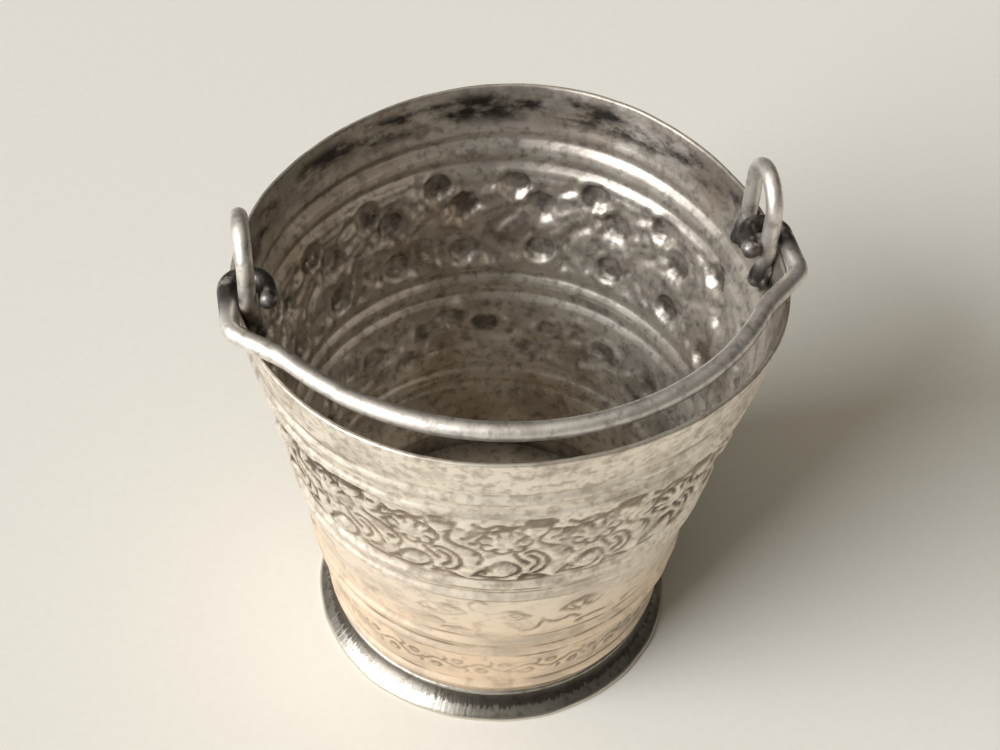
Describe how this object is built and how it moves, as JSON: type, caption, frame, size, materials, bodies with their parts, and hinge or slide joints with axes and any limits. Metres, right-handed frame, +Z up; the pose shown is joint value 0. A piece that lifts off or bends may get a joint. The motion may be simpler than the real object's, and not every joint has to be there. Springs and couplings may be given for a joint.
{
  "type": "cream pail",
  "caption": "Small conical silver cream pail with ribbed bands, a flared foot ring, two wire ears and a swing bail.",
  "frame": {"origin": "on the surface that the foot stands on, under the pail's own axis", "axes": "+Z up along the pail's axis, X from ear to ear with +X at the right ear, and -Y towards the side of the rim on which the bail lies folded"},
  "size_m": [0.0624, 0.0598, 0.0657],
  "materials": {
    "wall_silver": "satin",
    "floor_silver": "satin",
    "foot_silver": "satin",
    "wire_silver": "polished"
  },
  "bodies": {
    "pail": {"pail_wall": "wall_silver", "floor_plate": "floor_silver", "foot_ring": "foot_silver", "ear_left": "wire_silver", "ear_right": "wire_silver"},
    "bail": {"bail": "wire_silver"}
  },
  "joints": [
    {"name": "bail_swing", "type": "hinge", "parent": "pail", "child": "bail", "pos_m": [0, 0, 0.05765], "axis": [-1, 0, 0], "range_deg": [0, 180]}
  ]
}
